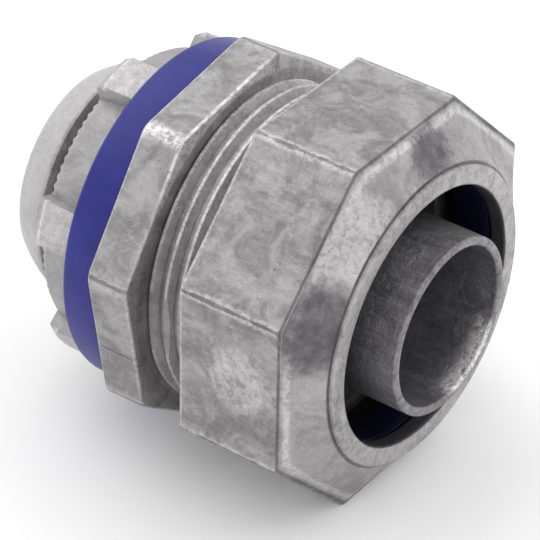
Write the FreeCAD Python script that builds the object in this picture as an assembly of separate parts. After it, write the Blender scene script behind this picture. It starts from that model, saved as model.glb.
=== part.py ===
import FreeCAD, Part
import math
import os

# A straight liquidtight conduit connector for half-inch conduit, in millimetres.
# It lies on one flat of its gland nut: +X points out of the mouth that takes the conduit,
# +Z is up, and the origin is under the middle of its length, on the surface that it lies on.
# Stations run along the axis from the face of the flange that the gasket seats on,
# positive towards the mouth. Angles run round the axis from straight up, towards -Y.

# Clearances
THREAD_CLEARANCE = 0.05
LOOSE_CLEARANCE = 0.3
SEAT_CLEARANCE = 0.1

# Outside threads, each turn drawn as one ring
THREAD_DEPTH = 0.75
THREAD_CREST = 0.25
BARREL_PITCH = 1.411
BARREL_FIRST_TURN = 0.38
HUB_PITCH = 1.814
HUB_FIRST_TURN = 1.3

# Gland nut with eight flats, sized from the mouth that the conduit goes through
MOUTH_DIAMETER = 22.2
LIP_DEPTH = 1.3
LIP_ROUNDING = 0.25
RIM_WIDTH = 1.75
RIM_HEIGHT = 0.4
RIM_ROUNDING = 0.25
CONE_LEDGE = 0.6
CONE_RISE = 1.8
CONE_MARGIN = 0.7
CONE_SHOULDER = 0.35
NUT_WALL = 2.47
NUT_LENGTH = 12.2
NUT_CORNER_ROUNDING = 0.5
BEVEL_LENGTH = 2.8
BEVEL_STEP = 0.25

# Sealing ring that the nut's cone squeezes onto the conduit
RING_SETBACK = 0.05
RING_GAP = 1.9
RING_LENGTH = 3.5
RING_EDGE = 0.4

# Barrel with the outside thread for the gland nut, and the socket inside it
BARREL_LENGTH = 10.6
BARREL_LEAD = 0.7
SOCKET_MARGIN = 0.2
SOCKET_FLOOR = 3.4
PARTING_ANGLE = 91.0
PARTING_DEPTH = 0.35

# Flange with eight wrench flats
FLANGE_SETBACK = 0.97
FLANGE_THICKNESS = 3.9
FLANGE_TURN = 9.5
FLANGE_EDGE = 0.3

# Sealing gasket between the flange and the wall
GASKET_SETBACK = 0.5
GASKET_THICKNESS = 3.7
GASKET_ROUNDING = 0.4

# Hub, the threaded end that goes through the wall of the box
HUB_SETBACK = 0.6
HUB_LENGTH = 13.0
HUB_WALL = 2.6
NOSE_LENGTH = 3.3
NOSE_DROP = 1.55
THROAT_ROUNDING = 0.5

# Locknut on the hub
LOCKNUT_THICKNESS = 4.1
LOCKNUT_WALL = 2.05
LOCKNUT_DRAFT = 0.4
LUG_COUNT = 6
LUG_FIRST_ANGLE = 12.0
LUG_WIDTH = 3.8
LUG_HEIGHT = 1.65
LUG_ROOT = 1.0
LUG_BEVEL = 0.9
LUG_BEVEL_DROP = 0.6
TOOTH_COUNT = 96
TOOTH_DEPTH = 0.4
TOOTH_WIDTH_SHARE = 0.96

# Ferrule, the tube that goes inside the conduit
FERRULE_DIAMETER = 15.3
FERRULE_REACH = 2.2
FERRULE_LIP_WALL = 0.8
FERRULE_BASE_WALL = 1.1
FERRULE_BASE_THICKNESS = 1.6
FERRULE_LIP_ROUNDING = 0.3

# How far the tools that cut a shape reach past it
CUT_MARGIN = 1.0
FINE_MARGIN = 0.01

# Worked out from the sizes above
SIDES = 8
STEP_ANGLE = 360.0 / SIDES
MOUTH_RADIUS = MOUTH_DIAMETER / 2
RIM_RADIUS = MOUTH_RADIUS + RIM_WIDTH
CONE_FRONT_RADIUS = MOUTH_RADIUS + CONE_LEDGE
CONE_BACK_RADIUS = CONE_FRONT_RADIUS + CONE_RISE
NUT_BORE_RADIUS = CONE_BACK_RADIUS + CONE_SHOULDER
NUT_APOTHEM = NUT_BORE_RADIUS + NUT_WALL
RING_BORE_RADIUS = MOUTH_RADIUS + RING_SETBACK
BARREL_RADIUS = NUT_BORE_RADIUS - THREAD_CLEARANCE
BARREL_END = FLANGE_THICKNESS + BARREL_LENGTH
SOCKET_RADIUS = MOUTH_RADIUS + SOCKET_MARGIN
FLANGE_APOTHEM = NUT_APOTHEM - FLANGE_SETBACK
GASKET_RADIUS = FLANGE_APOTHEM - GASKET_SETBACK
HUB_RADIUS = MOUTH_RADIUS - HUB_SETBACK
THROAT_RADIUS = HUB_RADIUS - HUB_WALL
LOCKNUT_STATION = -GASKET_THICKNESS
LOCKNUT_BACK = LOCKNUT_STATION - LOCKNUT_THICKNESS
LOCKNUT_BORE_RADIUS = HUB_RADIUS + THREAD_CLEARANCE
LOCKNUT_RADIUS = LOCKNUT_BORE_RADIUS + LOCKNUT_WALL
LUG_RADIUS = LOCKNUT_RADIUS + LUG_HEIGHT
FERRULE_RADIUS = FERRULE_DIAMETER / 2
LIP_BACK = BARREL_END + RING_GAP + RING_LENGTH + LOOSE_CLEARANCE
MOUTH_STATION = LIP_BACK + LIP_DEPTH
NUT_STATION = MOUTH_STATION - NUT_LENGTH
CONE_DEPTH = RING_LENGTH + CONE_MARGIN
FERRULE_END = MOUTH_STATION + FERRULE_REACH
MIDDLE = (FERRULE_END - HUB_LENGTH) / 2
AXIS_HEIGHT = NUT_APOTHEM
AXIS_POINT = FreeCAD.Vector(0, 0, 0)
AXIS_LINE = FreeCAD.Vector(1, 0, 0)


def point(station, radius, angle):
    """A point at a station, a radius from the axis and an angle from straight up."""
    turn = math.radians(angle)
    return FreeCAD.Vector(station, -radius * math.sin(turn), radius * math.cos(turn))


def flat(station, radius):
    """A point of a profile that is turned about the axis."""
    return FreeCAD.Vector(station, 0, radius)


def line(start, end):
    return Part.LineSegment(flat(*start), flat(*end)).toShape()


def arc(start, middle, end):
    return Part.Arc(flat(*start), flat(*middle), flat(*end)).toShape()


def rounded(start, corner, end):
    """A quarter circle from start to end, inside the corner where their sides would meet."""
    inset = 1 - math.sqrt(0.5)
    across = (start[0] + end[0] - corner[0], start[1] + end[1] - corner[1])
    middle = [c + (a - c) * inset for c, a in zip(corner, across)]
    return arc(start, middle, end)


def turned(edges):
    """Turns a closed profile, given as edges in order, once about the axis."""
    face = Part.Face(Part.Wire(edges))
    return face.revolve(AXIS_POINT, AXIS_LINE, 360)


def turned_outline(points):
    """Turns a closed outline of straight sides once about the axis."""
    closed = points + points[:1]
    return turned([line(a, b) for a, b in zip(closed, closed[1:])])


def disc(start, end, radius):
    return Part.makeCylinder(radius, end - start, FreeCAD.Vector(start, 0, 0), AXIS_LINE)


def corner_angles(turn):
    return [turn + STEP_ANGLE * (k + 0.5) for k in range(SIDES)]


def flats_wire(station, apothem, turn):
    """The outline of the wrench flats at a station."""
    reach = apothem / math.cos(math.radians(STEP_ANGLE / 2))
    corners = [point(station, reach, angle) for angle in corner_angles(turn)]
    return Part.makePolygon(corners + corners[:1])


def circle_wire(station, radius, turn):
    """A circle in as many arcs as there are flats, with its joints at their corners."""
    edges = []
    for angle in corner_angles(turn):
        start = point(station, radius, angle)
        middle = point(station, radius, angle + STEP_ANGLE / 2)
        end = point(station, radius, angle + STEP_ANGLE)
        edges.append(Part.Arc(start, middle, end).toShape())
    return Part.Wire(edges)


def flats_prism(start, end, apothem, turn):
    outline = Part.Face(flats_wire(start, apothem, turn))
    return outline.extrude(FreeCAD.Vector(end - start, 0, 0))


def along_axis(edge):
    """Whether an edge of a prism runs along the axis."""
    first, last = edge.Vertexes[0].Point, edge.Vertexes[-1].Point
    return abs(first.x - last.x) > edge.Length / 2


def place(shape):
    """Moves a shape from the axis to where the connector lies."""
    moved = shape.copy()
    moved.translate(FreeCAD.Vector(-MIDDLE, 0, AXIS_HEIGHT))
    return moved


def thread_rings(first, end, pitch, crest_radius):
    """The outline of a thread's turns, with a flank of 30 degrees on each side of a crest."""
    root_radius = crest_radius - THREAD_DEPTH
    half_crest = THREAD_CREST / 2
    half_foot = half_crest + THREAD_DEPTH * math.tan(math.radians(30))
    points = []
    middle = first
    while middle + half_foot < end:
        points += [
            (middle - half_foot, root_radius),
            (middle - half_crest, crest_radius),
            (middle + half_crest, crest_radius),
            (middle + half_foot, root_radius),
        ]
        middle += pitch
    return points


def nose_arc(start_station, start_radius):
    """The hub's nose: an arc that leaves the hub's side smoothly and ends at its tip."""
    sweep = 2 * math.atan(NOSE_DROP / NOSE_LENGTH)
    radius = NOSE_LENGTH / math.sin(sweep)
    back = radius * math.sin(sweep / 2)
    drop = radius * (1 - math.cos(sweep / 2))
    middle = (start_station - back, start_radius - drop)
    end = (start_station - NOSE_LENGTH, start_radius - NOSE_DROP)
    return arc(end, middle, (start_station, start_radius))


def hub():
    """The hub's outside: a rounded nose and the threaded length behind it."""
    nose_base = NOSE_LENGTH - HUB_LENGTH
    tip_radius = HUB_RADIUS - NOSE_DROP
    root = SOCKET_FLOOR / 2
    crest_end = nose_base + THREAD_CREST / 2
    rings = thread_rings(nose_base + HUB_FIRST_TURN, 0, HUB_PITCH, HUB_RADIUS)
    foot = crest_end + THREAD_DEPTH * math.tan(math.radians(30))
    root_radius = HUB_RADIUS - THREAD_DEPTH
    side = [(nose_base, HUB_RADIUS), (crest_end, HUB_RADIUS), (foot, root_radius)]
    side += rings + [(root, root_radius), (root, 0)]
    return turned([
        line((root, 0), (-HUB_LENGTH, 0)),
        line((-HUB_LENGTH, 0), (-HUB_LENGTH, tip_radius)),
        nose_arc(nose_base, HUB_RADIUS),
        *[line(a, b) for a, b in zip(side, side[1:])],
    ])


def flange():
    prism = flats_prism(0, FLANGE_THICKNESS, FLANGE_APOTHEM, FLANGE_TURN)
    return prism.makeFillet(FLANGE_EDGE, prism.Edges)


def barrel():
    """The threaded barrel, with a plain lead at its end and a flat along each parting line."""
    root = FLANGE_THICKNESS / 2
    root_radius = BARREL_RADIUS - THREAD_DEPTH
    first = FLANGE_THICKNESS + BARREL_FIRST_TURN
    solid = turned_outline([
        (root, 0),
        (root, root_radius),
        *thread_rings(first, BARREL_END - BARREL_LEAD, BARREL_PITCH, BARREL_RADIUS),
        (BARREL_END, root_radius),
        (BARREL_END, 0),
    ])
    for side in (0, 180):
        solid = solid.cut(parting_flat(PARTING_ANGLE + side))
    return solid


def parting_flat(angle):
    """What the mould's parting line takes off the thread, as a flat."""
    reach = 2 * BARREL_RADIUS
    corner = FreeCAD.Vector(FLANGE_THICKNESS, -reach / 2, BARREL_RADIUS - PARTING_DEPTH)
    block = Part.makeBox(BARREL_LENGTH, reach, reach, corner)
    block.rotate(AXIS_POINT, AXIS_LINE, angle)
    return block


def passage():
    """The way through the body: the throat, rounded at the hub's end, and the socket."""
    throat = THROAT_RADIUS
    tip = -HUB_LENGTH
    start = tip - CUT_MARGIN
    end = BARREL_END + CUT_MARGIN
    inner, outer = (tip + THROAT_ROUNDING, throat), (tip, throat + THROAT_ROUNDING)
    return turned([
        line((start, 0), (start, outer[1])),
        line((start, outer[1]), outer),
        rounded(outer, (tip, throat), inner),
        line(inner, (SOCKET_FLOOR, throat)),
        line((SOCKET_FLOOR, throat), (SOCKET_FLOOR, SOCKET_RADIUS)),
        line((SOCKET_FLOOR, SOCKET_RADIUS), (end, SOCKET_RADIUS)),
        line((end, SOCKET_RADIUS), (end, 0)),
        line((end, 0), (start, 0)),
    ])


def connector_body():
    return hub().fuse([flange(), barrel()]).removeSplitter().cut(passage())


def gasket():
    """A flat ring with rounded outer edges, loose on the hub."""
    bore = HUB_RADIUS + LOOSE_CLEARANCE
    outer = GASKET_RADIUS
    inner = outer - GASKET_ROUNDING
    back = -GASKET_THICKNESS
    return turned([
        line((0, bore), (0, inner)),
        rounded((0, inner), (0, outer), (-GASKET_ROUNDING, outer)),
        line((-GASKET_ROUNDING, outer), (back + GASKET_ROUNDING, outer)),
        rounded((back + GASKET_ROUNDING, outer), (back, outer), (back, inner)),
        line((back, inner), (back, bore)),
        line((back, bore), (0, bore)),
    ])


def locknut_ring():
    """The locknut's ring, a little smaller at its toothed end."""
    return turned_outline([
        (LOCKNUT_STATION, LOCKNUT_BORE_RADIUS),
        (LOCKNUT_STATION, LOCKNUT_RADIUS + LOCKNUT_DRAFT),
        (LOCKNUT_BACK, LOCKNUT_RADIUS),
        (LOCKNUT_BACK, LOCKNUT_BORE_RADIUS),
    ])


def locknut_lug(angle):
    """One lug that a screwdriver drives: a rounded tip, bevelled towards the toothed end."""
    root = LOCKNUT_RADIUS - LUG_ROOT
    back = LOCKNUT_BACK + TOOTH_DEPTH
    tip = turned_outline([
        (LOCKNUT_STATION, root),
        (LOCKNUT_STATION, LUG_RADIUS),
        (back + LUG_BEVEL, LUG_RADIUS),
        (back, LUG_RADIUS - LUG_BEVEL_DROP),
        (back, root),
    ])
    corner = FreeCAD.Vector(back, -LUG_WIDTH / 2, root)
    block = Part.makeBox(LOCKNUT_STATION - back, LUG_WIDTH, LUG_RADIUS, corner)
    lug = block.common(tip)
    lug.rotate(AXIS_POINT, AXIS_LINE, angle)
    return lug


def tooth_valley(angle):
    """The valley between two teeth on the locknut's free face, narrower towards the axis."""
    half = 180.0 / TOOTH_COUNT * TOOTH_WIDTH_SHARE
    start = LOCKNUT_BACK - FINE_MARGIN
    triangles = []
    for radius in (LOCKNUT_BORE_RADIUS - CUT_MARGIN, LOCKNUT_RADIUS + CUT_MARGIN):
        corners = [
            point(start, radius, angle - half),
            point(LOCKNUT_BACK + TOOTH_DEPTH, radius, angle),
            point(start, radius, angle + half),
        ]
        triangles.append(Part.makePolygon(corners + corners[:1]))
    return Part.makeLoft(triangles, True, True)


def locknut():
    lugs = [locknut_lug(LUG_FIRST_ANGLE + k * 360.0 / LUG_COUNT) for k in range(LUG_COUNT)]
    valleys = [tooth_valley(k * 360.0 / TOOTH_COUNT) for k in range(TOOTH_COUNT)]
    toothed = locknut_ring().cut(Part.makeCompound(valleys))
    return toothed.fuse(lugs)


def nut_outside():
    """Flats, a step, a bevel that runs from the flats to a circle, and the raised rim."""
    skirt_end = MOUTH_STATION - BEVEL_LENGTH
    rim_base = MOUTH_STATION - RIM_HEIGHT
    prism = flats_prism(NUT_STATION, skirt_end, NUT_APOTHEM, 0)
    prism = prism.makeFillet(NUT_CORNER_ROUNDING, [e for e in prism.Edges if along_axis(e)])
    bevel = Part.makeLoft([
        flats_wire(skirt_end, NUT_APOTHEM - BEVEL_STEP, 0),
        circle_wire(rim_base, RIM_RADIUS + BEVEL_STEP, 0),
    ], True, True)
    rim = disc(skirt_end, MOUTH_STATION, RIM_RADIUS)
    rim_edges = [e for e in rim.Edges if e.BoundBox.XMin > rim_base]
    rim = rim.makeFillet(RIM_ROUNDING, rim_edges)
    return prism.fuse([bevel, rim]).removeSplitter()


def nut_cavity():
    """The nut's inside: the mouth's lip, the cone that squeezes the sealing ring and the bore."""
    start = NUT_STATION - CUT_MARGIN
    end = MOUTH_STATION + CUT_MARGIN
    cone_back = LIP_BACK - CONE_DEPTH
    inner, outer = (MOUTH_STATION - LIP_ROUNDING, MOUTH_RADIUS), (MOUTH_STATION, MOUTH_RADIUS + LIP_ROUNDING)
    return turned([
        line((start, 0), (start, NUT_BORE_RADIUS)),
        line((start, NUT_BORE_RADIUS), (cone_back, NUT_BORE_RADIUS)),
        line((cone_back, NUT_BORE_RADIUS), (cone_back, CONE_BACK_RADIUS)),
        line((cone_back, CONE_BACK_RADIUS), (LIP_BACK, CONE_FRONT_RADIUS)),
        line((LIP_BACK, CONE_FRONT_RADIUS), (LIP_BACK, MOUTH_RADIUS)),
        line((LIP_BACK, MOUTH_RADIUS), inner),
        rounded(inner, (MOUTH_STATION, MOUTH_RADIUS), outer),
        line(outer, (end, outer[1])),
        line((end, outer[1]), (end, 0)),
        line((end, 0), (start, 0)),
    ])


def gland_nut():
    return nut_outside().cut(nut_cavity())


def cone_radius(station):
    """The radius of the nut's inner cone at a station."""
    share = (LIP_BACK - station) / CONE_DEPTH
    return CONE_FRONT_RADIUS + share * CONE_RISE


def sealing_ring():
    """A tapered ring that follows the nut's cone, with a clearance all round."""
    front = LIP_BACK - LOOSE_CLEARANCE
    back = front - RING_LENGTH
    bore = RING_BORE_RADIUS
    back_outer = cone_radius(back) - LOOSE_CLEARANCE
    edge = min(RING_EDGE, (back_outer - bore) / 3)
    return turned_outline([
        (front, bore),
        (front, cone_radius(front) - LOOSE_CLEARANCE),
        (back + edge, cone_radius(back + edge) - LOOSE_CLEARANCE),
        (back, back_outer - edge),
        (back, bore + edge),
        (back + edge, bore),
    ])


def ferrule():
    """The inner tube: a base that seats in the socket, and a tube with a drafted bore."""
    base_radius = SOCKET_RADIUS - SEAT_CLEARANCE
    base_end = SOCKET_FLOOR + FERRULE_BASE_THICKNESS
    outer = FERRULE_RADIUS
    bore = outer - FERRULE_BASE_WALL
    mouth = outer - FERRULE_LIP_WALL
    rounding = min(FERRULE_LIP_ROUNDING, FERRULE_LIP_WALL / 3)
    end = FERRULE_END
    return turned([
        line((SOCKET_FLOOR, bore), (SOCKET_FLOOR, base_radius)),
        line((SOCKET_FLOOR, base_radius), (base_end, base_radius)),
        line((base_end, base_radius), (base_end, outer)),
        line((base_end, outer), (end - rounding, outer)),
        rounded((end - rounding, outer), (end, outer), (end, outer - rounding)),
        line((end, outer - rounding), (end, mouth + rounding)),
        rounded((end, mouth + rounding), (end, mouth), (end - rounding, mouth)),
        line((end - rounding, mouth), (SOCKET_FLOOR, bore)),
    ])


PIECES = {
    "connector_body": connector_body,
    "ferrule": ferrule,
    "gasket": gasket,
    "locknut": locknut,
    "sealing_ring": sealing_ring,
    "gland_nut": gland_nut,
}


def main():
    os.makedirs("parts", exist_ok=True)
    for name, make in PIECES.items():
        shape = place(make())
        solid = shape.Solids[0] if len(shape.Solids) == 1 else shape
        solid.exportStep("parts/" + name + ".step")
        box = solid.optimalBoundingBox(False)
        print(name, len(shape.Solids), "solid, valid:", solid.isValid(), "volume:", round(solid.Volume, 1))
        print("  from", [round(v, 3) for v in (box.XMin, box.YMin, box.ZMin)])
        print("  to", [round(v, 3) for v in (box.XMax, box.YMax, box.ZMax)])


main()
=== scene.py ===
import math

import bpy
from mathutils import Matrix, Vector


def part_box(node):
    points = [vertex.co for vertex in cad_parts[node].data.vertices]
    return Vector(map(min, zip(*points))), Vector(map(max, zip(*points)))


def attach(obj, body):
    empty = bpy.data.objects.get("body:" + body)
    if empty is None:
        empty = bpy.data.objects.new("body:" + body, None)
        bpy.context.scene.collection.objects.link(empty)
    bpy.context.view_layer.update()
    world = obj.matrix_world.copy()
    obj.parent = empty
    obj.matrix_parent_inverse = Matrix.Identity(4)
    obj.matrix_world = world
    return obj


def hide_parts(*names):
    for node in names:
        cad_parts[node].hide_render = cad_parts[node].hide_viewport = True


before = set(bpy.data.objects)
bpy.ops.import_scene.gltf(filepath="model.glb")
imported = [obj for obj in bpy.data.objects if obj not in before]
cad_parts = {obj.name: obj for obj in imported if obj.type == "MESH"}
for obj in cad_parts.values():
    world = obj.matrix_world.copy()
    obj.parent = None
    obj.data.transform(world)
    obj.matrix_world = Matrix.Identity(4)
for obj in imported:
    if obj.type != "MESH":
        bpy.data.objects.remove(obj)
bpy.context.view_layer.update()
bpy.ops.object.select_all(action="DESELECT")

MM = 0.001

# Camera: where it stands, what it looks at and its roll, fitted to the photograph
CAMERA_PLACE = Vector((136.6, -187.2, 181.4)) * MM
CAMERA_TARGET = Vector((1.17, -0.63, 14.66)) * MM
CAMERA_ROLL = math.radians(1.03)
CAMERA_LENS = 233.3
CAMERA_SENSOR = 36.0
CAMERA_NEAR = 0.01
CAMERA_FAR = 10

# Studio
FLOOR_SIZE = 1.6
FLOOR_COLOUR = (0.94, 0.94, 0.94, 1)
FLOOR_ROUGHNESS = 0.9
WORLD_COLOUR = (1, 1, 1, 1)
KEY_PLACE = Vector((-0.42, 0.02, 0.50))
KEY_SIZE = 0.7
KEY_POWER = 1.6
FILL_PLACE = Vector((0.30, 0.35, 0.45))
FILL_SIZE = 0.4
FILL_POWER = 0.8

# The axis, taken from the frame, in metres
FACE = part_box("gasket")[1].x
AXIS_HEIGHT = (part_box("ferrule")[0].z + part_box("ferrule")[1].z) / 2
AXIS_CENTRE = Vector((0, 0, AXIS_HEIGHT))

# How finely pieces are turned and shaded, and the flats of the nut and the flange
TURN_STEPS = 192
SMOOTH_ANGLE = math.radians(35)
FLATS = 8
FLAT_ANGLE = math.tau / FLATS

# When two places are one, how far shapes run into each other, and what booleans may leave open
SAME_PLACE = 0.002
OVERLAP = 1.0
SLIVER_SIDES = 8

# Sizes that the boxes of the frame do not give, in millimetres
HUB_RADIUS = 10.5
HUB_PITCH = 1.814
HUB_FIRST_CREST = -8.63
HUB_CREST_DROP = 0.02
HUB_THREAD_GAP = 0.05
THREAD_DEPTH = 0.75
THREAD_CREST = 0.25
THREAD_FLANK = math.radians(30)
NOSE_BASE = -9.7
NOSE_DROP = 1.6
NOSE_SWELL = 1.5
NOSE_STEPS = 10
THROAT_RADIUS = 7.9
THROAT_ROUNDING = 0.5
THROAT_STEP = 15
FLANGE_APOTHEM = 15.35
FLANGE_THICKNESS = 3.9
FLANGE_TURN = math.radians(9.5)
FLANGE_ROUNDING = 0.25
FLANGE_CORNER_ROUNDING = 0.62
FLANGE_CORNER_SEGMENTS = 5
CORNER_REACH = math.radians(4)
BARREL_RADIUS = 13.8
BARREL_PITCH = 1.411
BARREL_FIRST_CREST = 4.08
BARREL_LEAD = 0.4
BARREL_LEAD_DROP = 0.02
BARREL_CHAMFER = 0.3
SOCKET_RADIUS = 11.3
SOCKET_FLOOR = 3.4
PARTING_ANGLE = math.radians(91)
PARTING_DEPTH = 0.35
PARTING_RIB_ANGLE = math.radians(104)
RIB_WIDTH = 0.28
RIB_HEIGHT = 0.09
RIB_ROUNDING = RIB_HEIGHT * 0.6
RIB_INSET = 0.35
LOCKNUT_BORE = 10.58
LOCKNUT_RADIUS = 12.6
LOCKNUT_DRAFT = 0.4
LOCKNUT_BACK_DRAFT = 0.05
LUG_ANGLES = (-42, 14.4, 72, 128.5, 191.7, 254.8)
LUG_WIDTH = 3.8
LUG_RADIUS = 14.25
LUG_ROOT = 1.0
LUG_BEVEL = 0.9
LUG_BEVEL_DROP = 0.6
LUG_BEVEL_RUNOUT = 0.3
LUG_ROUNDING = 0.28
LUG_INSET = 0.03
LUG_SHARP_ANGLE = 25
LUG_TIP_STEPS = 96
TOOTH_DEPTH = 0.17
TOOTH_FADE = 0.55
TOOTH_DROP = 0.4
GASKET_ROUNDING = 0.4
GASKET_BORE = 10.8
RIM_RADIUS = 12.85
RIM_HEIGHT = 0.4
RIM_ROUNDING = 0.25
MOUTH_RADIUS = 11.1
NUT_BORE = 13.87
NUT_BEVEL_LENGTH = 2.8
NUT_BEVEL_STEP = 0.25
NUT_BEVEL_CUTS = 5
NUT_CORNER_ROUNDING = 0.21
NUT_CORNER_SEGMENTS = 3
NUT_SKIRT_LOOPS = 12
NUT_SKIRT_ROUNDING = 0.12
NUT_BACK_ROUNDING = 0.2
NUT_LONG_EDGE = 1.0
LIP_DEPTH = 1.3
CONE_DEPTH = 4.2
CONE_FRONT_RADIUS = 11.7
CONE_BACK_RADIUS = 13.5
RING_BORE = 11.15
RING_EDGE = 0.4
RING_ROUNDING = 0.1
CONE_CLEARANCE = 0.3
FERRULE_RADIUS = 7.65
FERRULE_MOUTH_BORE = 6.85
FERRULE_BASE_BORE = 6.55
FERRULE_BASE_THICKNESS = 1.6
FERRULE_ROUNDING = 0.26


def station(x):
    """How far along the axis a place of the frame is, in millimetres from the gasket's seat."""
    return (x - FACE) / MM


# Stations and radii taken from the frame, in millimetres
HUB_TIP = station(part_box("connector_body")[0].x)
BARREL_END = station(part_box("connector_body")[1].x)
LOCKNUT_FRONT = station(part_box("locknut")[1].x)
LOCKNUT_BACK = station(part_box("locknut")[0].x)
GASKET_BACK = station(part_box("gasket")[0].x)
GASKET_RADIUS = AXIS_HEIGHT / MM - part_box("gasket")[0].z / MM
RING_BACK = station(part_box("sealing_ring")[0].x)
RING_FRONT = station(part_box("sealing_ring")[1].x)
NUT_BACK = station(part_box("gland_nut")[0].x)
NUT_FRONT = station(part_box("gland_nut")[1].x)
NUT_APOTHEM = AXIS_HEIGHT / MM
FERRULE_BASE = station(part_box("ferrule")[0].x)
FERRULE_END = station(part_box("ferrule")[1].x)
FERRULE_BASE_RADIUS = AXIS_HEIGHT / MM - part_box("ferrule")[0].z / MM
SKIRT_END = NUT_FRONT - NUT_BEVEL_LENGTH
LIP_BACK = NUT_FRONT - LIP_DEPTH


def place(along, radius, angle=0.0):
    """A point at a station, a radius from the axis and an angle from straight up, towards -Y."""
    sideways = -radius * math.sin(angle)
    upwards = radius * math.cos(angle)
    return Vector((FACE + along * MM, sideways * MM, AXIS_HEIGHT + upwards * MM))


def set_mode(mode):
    bpy.ops.object.mode_set(mode=mode)


def make_active(piece):
    bpy.ops.object.select_all(action="DESELECT")
    piece.select_set(True)
    bpy.context.view_layer.objects.active = piece


def start_mesh(name):
    """A new mesh piece in edit mode, with one vertex at the origin."""
    bpy.ops.object.select_all(action="DESELECT")
    bpy.ops.mesh.primitive_plane_add(size=MM)
    piece = bpy.context.object
    piece.name = name
    piece.data.name = name
    set_mode("EDIT")
    bpy.ops.mesh.select_mode(type="VERT")
    bpy.ops.mesh.select_all(action="SELECT")
    bpy.ops.mesh.merge(type="CENTER")
    return piece


def select_vertices(wanted):
    """In edit mode, selects the vertices of the active mesh whose place the test accepts."""
    bpy.ops.mesh.select_mode(type="VERT")
    bpy.ops.mesh.select_all(action="DESELECT")
    set_mode("OBJECT")
    for vertex in bpy.context.object.data.vertices:
        vertex.select = wanted(vertex.co)
    set_mode("EDIT")
    bpy.ops.mesh.select_mode(type="VERT")


def near(*places):
    """A test that accepts vertices at these places."""
    return lambda co: any((co - p).length < SAME_PLACE * MM for p in places)


def radius_of(co):
    """How far a vertex is from the axis, in millimetres."""
    return math.hypot(co.y, co.z - AXIS_HEIGHT) / MM


def angle_of(co):
    """The angle of a vertex round the axis, from straight up, towards -Y."""
    return math.atan2(-co.y, co.z - AXIS_HEIGHT) % math.tau


def angle_between(a, b):
    """The smaller angle from one direction to another."""
    return (a - b + math.pi) % math.tau - math.pi


def on_station(along, beyond=0.0):
    """A test that accepts the vertices at one station that are further out than a radius."""
    return lambda co: abs(station(co.x) - along) < SAME_PLACE and radius_of(co) > beyond


def on_loop(along, radius):
    """A test that accepts the vertices of one turned loop."""
    return lambda co: on_station(along)(co) and abs(radius_of(co) - radius) < SAME_PLACE


def extrude_points(places):
    """Extrudes the one vertex of the mesh through a row of places."""
    bpy.ops.transform.translate(value=places[0])
    for a, b in zip(places, places[1:]):
        bpy.ops.mesh.extrude_vertices_move(TRANSFORM_OT_translate={"value": b - a})


def draw_profile(points):
    """Extrudes the one vertex of the mesh along a profile of (station, radius) points and closes it."""
    places = [place(*p) for p in points]
    extrude_points(places)
    select_vertices(near(places[0], places[-1]))
    bpy.ops.mesh.edge_face_add()
    bpy.ops.mesh.select_all(action="SELECT")


def clean_mesh():
    """In edit mode, merges doubles and turns the faces outwards."""
    bpy.ops.mesh.select_all(action="SELECT")
    bpy.ops.mesh.remove_doubles(threshold=SAME_PLACE / 2 * MM)
    bpy.ops.mesh.normals_make_consistent(inside=False)


def turned(name, points, steps=TURN_STEPS):
    """A piece turned about the axis from a closed profile of (station, radius) points."""
    piece = start_mesh(name)
    draw_profile(points)
    bpy.ops.mesh.spin(steps=steps, angle=math.tau, center=AXIS_CENTRE, axis=(1, 0, 0))
    clean_mesh()
    set_mode("OBJECT")
    return piece


def apply_modifier(piece, modifier):
    make_active(piece)
    bpy.ops.object.modifier_apply(modifier=modifier.name)


def soften(piece, width, segments, angle=30):
    """Rounds the piece's sharp edges."""
    bevel = piece.modifiers.new("rounded edges", "BEVEL")
    bevel.width = width * MM
    bevel.segments = segments
    bevel.limit_method = "ANGLE"
    bevel.angle_limit = math.radians(angle)
    apply_modifier(piece, bevel)


def combine(piece, other, operation):
    """A boolean of two pieces. The second one goes."""
    boolean = piece.modifiers.new("combined", "BOOLEAN")
    boolean.operation = operation
    boolean.solver = "EXACT"
    boolean.object = other
    apply_modifier(piece, boolean)
    bpy.data.objects.remove(other)


def mend(piece):
    """Closes the slivers that booleans leave."""
    make_active(piece)
    set_mode("EDIT")
    bpy.ops.mesh.select_all(action="SELECT")
    bpy.ops.mesh.dissolve_degenerate(threshold=SAME_PLACE * MM)
    bpy.ops.mesh.select_all(action="SELECT")
    bpy.ops.mesh.remove_doubles(threshold=SAME_PLACE * MM)
    bpy.ops.mesh.select_mode(type="EDGE")
    bpy.ops.mesh.select_all(action="DESELECT")
    bpy.ops.mesh.select_non_manifold(extend=False, use_wire=False, use_boundary=True, use_multi_face=False,
                                     use_non_contiguous=False, use_verts=False)
    bpy.ops.mesh.fill_holes(sides=SLIVER_SIDES)
    bpy.ops.mesh.select_mode(type="VERT")
    set_mode("OBJECT")


def smooth(piece):
    make_active(piece)
    bpy.ops.object.shade_smooth_by_angle(angle=SMOOTH_ANGLE)


def round_loop(wanted, width, segments):
    """Rounds the edges whose two ends the test accepts."""
    select_vertices(wanted)
    bpy.ops.mesh.select_mode(type="EDGE")
    bpy.ops.mesh.bevel(offset=width * MM, segments=segments, clamp_overlap=True)
    bpy.ops.mesh.select_mode(type="VERT")


def bisect_piece(piece, point, outwards):
    """Cuts a piece by a plane, takes away what is outwards of it and closes the cut."""
    make_active(piece)
    set_mode("EDIT")
    bpy.ops.mesh.select_all(action="SELECT")
    bpy.ops.mesh.bisect(
        plane_co=point, plane_no=outwards, use_fill=True, clear_outer=True,
        threshold=SAME_PLACE / 2 * MM)
    set_mode("OBJECT")


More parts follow.
